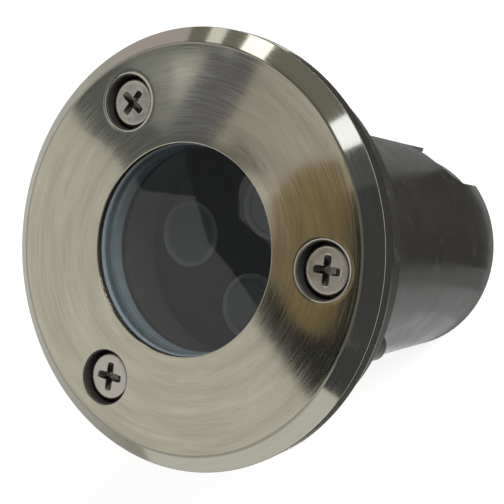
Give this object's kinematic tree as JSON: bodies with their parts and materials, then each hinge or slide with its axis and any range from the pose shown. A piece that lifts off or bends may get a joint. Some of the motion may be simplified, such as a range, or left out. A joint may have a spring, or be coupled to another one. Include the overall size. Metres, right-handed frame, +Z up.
{
  "type": "in ground well light",
  "caption": "Recessed ground light: a round brushed steel trim ring with screws and a glass window over a tapered moulded pot that holds a pin-base lamp and a cable gland.",
  "frame": {"origin": "centre of the pot's lower rim, at the level that the rim stands on", "axes": "+Z up out of the ground along the pot's axis; the trim ring's first screw lies 6.8 degrees clockwise of +X seen from above; the cable gland lies towards -Y"},
  "size_m": [0.1, 0.1, 0.108],
  "materials": {
    "ring_steel": "brushed in circles, polished bevel",
    "screw_steel": "machined",
    "glass": "clear",
    "silicone": "satin",
    "pot_plastic": "satin moulded",
    "brass": "machined",
    "lamp_aluminium": "die-cast",
    "lamp_black": "matt",
    "holder_plastic": "satin",
    "lens_acrylic": "clear",
    "board_white": "satin",
    "chip_yellow": "satin",
    "zinc_steel": "zinc-plated",
    "circuit_green": "satin",
    "wire_red": "satin",
    "base_ivory": "matt",
    "nickel": "nickel-plated",
    "ceramic": "unglazed ceramic",
    "bracket_steel": "zinc-plated",
    "block_white": "matt",
    "lead_blue": "satin",
    "lead_brown": "satin",
    "gland_plastic": "moulded",
    "seal_rubber": "matt"
  },
  "bodies": {
    "pot": {"ground_pot": "pot_plastic", "thread_inserts": "brass", "lamp_socket": "ceramic", "socket_contacts": "brass", "socket_screws": "zinc_steel", "socket_bracket": "bracket_steel", "floor_screws": "zinc_steel", "terminal_block": "block_white", "terminal_clamps": "brass", "terminal_screws": "zinc_steel", "lead_left": "lead_blue", "lead_right": "lead_brown", "gland_body": "gland_plastic", "gland_washer": "seal_rubber", "gland_locknut": "gland_plastic", "gland_seal": "seal_rubber"},
    "trim": {"face_ring": "ring_steel", "glass_lens": "glass", "glass_gasket": "silicone"},
    "screw_1": {"ring_screw_1": "screw_steel"},
    "screw_2": {"ring_screw_2": "screw_steel"},
    "screw_3": {"ring_screw_3": "screw_steel"},
    "lamp": {"lamp_body": "lamp_aluminium", "lamp_face": "lamp_black", "lens_holders": "holder_plastic", "lamp_lenses": "lens_acrylic", "led_board": "board_white", "led_chips": "chip_yellow", "board_screw": "zinc_steel", "driver_board": "circuit_green", "lamp_wires": "wire_red", "lamp_base": "base_ivory", "lamp_pins": "nickel"},
    "cap_nut": {"gland_nut": "gland_plastic"}
  },
  "joints": [
    {"name": "trim_lift", "type": "slide", "parent": "pot", "child": "trim", "axis": [0, 0, 1], "range_m": [0, 0.04]},
    {"name": "ring_screw_1_turn", "type": "hinge", "parent": "trim", "child": "screw_1", "pos_m": [0.03654, -0.00436, 0.1045], "axis": [0, 0, 1], "continuous": true},
    {"name": "ring_screw_2_turn", "type": "hinge", "parent": "trim", "child": "screw_2", "pos_m": [-0.0145, 0.03382, 0.1045], "axis": [0, 0, 1], "continuous": true},
    {"name": "ring_screw_3_turn", "type": "hinge", "parent": "trim", "child": "screw_3", "pos_m": [-0.02204, -0.02947, 0.1045], "axis": [0, 0, 1], "continuous": true},
    {"name": "lamp_pull", "type": "slide", "parent": "pot", "child": "lamp", "axis": [0, 0, 1], "range_m": [0, 0.012]},
    {"name": "gland_nut_turn", "type": "hinge", "parent": "pot", "child": "cap_nut", "pos_m": [0, -0.013, 0.009], "axis": [0, 0, 1], "continuous": true}
  ]
}
